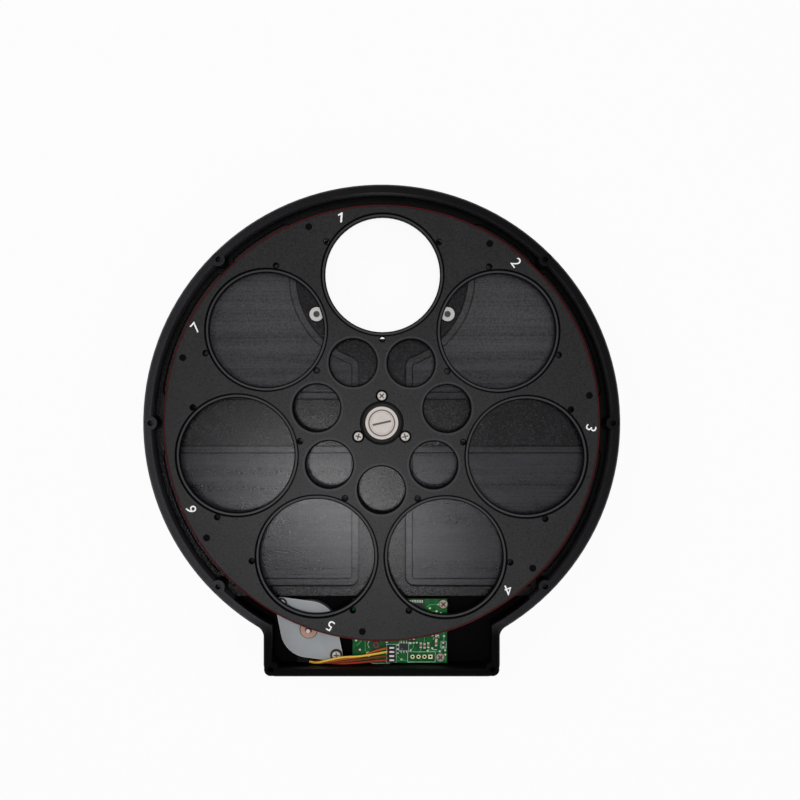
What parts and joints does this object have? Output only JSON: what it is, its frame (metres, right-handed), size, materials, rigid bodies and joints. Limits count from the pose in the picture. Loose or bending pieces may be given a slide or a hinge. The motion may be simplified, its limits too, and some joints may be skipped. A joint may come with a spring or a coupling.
{
  "type": "optical filter wheel",
  "caption": "Motor-driven optical filter wheel with its front cover off: round case, rotating filter carousel on a ball bearing, friction-drive stepper and circuit board.",
  "frame": {"origin": "where the wheel's rotation axis meets the flat back face of the case", "axes": "+Z along the optical axis, out of the open front; +Y from the wheel's axis to the light path; the bay with motor and circuit board lies towards -Y"},
  "size_m": [0.2, 0.2062, 0.021],
  "materials": {
    "case": "black anodised, satin",
    "wheel": "black anodised, satin",
    "steel": "bright stainless",
    "zinc": "zinc plated, matt",
    "bronze": "sintered bronze",
    "winding": "enamelled copper",
    "core": "stamped steel",
    "magnet": "dark sintered magnet",
    "cage": "natural polyamide",
    "rubber_black": "moulded seal",
    "band": "dark red rubber",
    "black_plastic": "moulded, satin",
    "white_plastic": "moulded",
    "board": "green solder mask",
    "capacitor": "ceramic",
    "tin": "tin plated",
    "gold": "gold plated",
    "lead_orange": "insulated wire",
    "lead_yellow": "insulated wire",
    "lead_brown": "insulated wire",
    "lead_red": "insulated wire"
  },
  "bodies": {
    "housing": {"back_housing": "case", "rear_adapter": "case", "adapter_screws": "steel", "pivot_stud": "steel", "bearing_inner_race": "steel", "bearing_balls": "steel", "bearing_cage": "cage", "motor_can": "zinc", "motor_flange": "zinc", "motor_front_bushing": "bronze", "motor_rear_bushing": "bronze", "motor_coils": "winding", "motor_stator": "core", "motor_lead_block": "white_plastic", "motor_screws": "steel", "motor_washers": "black_plastic", "circuit_board": "board", "board_screws": "steel", "control_chip": "black_plastic", "driver_chip": "black_plastic", "hall_sensor": "black_plastic", "power_inductor": "black_plastic", "regulator": "black_plastic", "ceramic_capacitors": "capacitor", "chip_resistors": "black_plastic", "motor_socket": "black_plastic", "motor_socket_pins": "tin", "header_pads": "gold", "usb_shell": "tin", "usb_tongue": "black_plastic", "motor_lead_1": "lead_orange", "motor_lead_2": "lead_yellow", "motor_lead_3": "lead_brown", "motor_lead_4": "lead_red"},
    "carousel": {"carousel_disc": "wheel", "drive_band": "band", "bearing_clamp_ring": "wheel", "clamp_screws": "steel", "index_magnets": "magnet", "bearing_outer_race": "steel", "bearing_seals": "rubber_black"},
    "motor_rotor_shaft": {"motor_shaft": "steel", "motor_rotor": "magnet"}
  },
  "joints": [
    {"name": "carousel_spin", "type": "hinge", "parent": "housing", "child": "carousel", "pos_m": [0, 0, 0.0158], "axis": [0, 0, 1], "continuous": true},
    {"name": "motor_shaft_spin", "type": "hinge", "parent": "housing", "child": "motor_rotor_shaft", "pos_m": [-0.03106, -0.08772, 0.01], "axis": [0, 0, 1], "continuous": true}
  ],
  "couplings": [
    {"joint": "motor_shaft_spin", "follows": "carousel_spin", "ratio": -92.005}
  ]
}
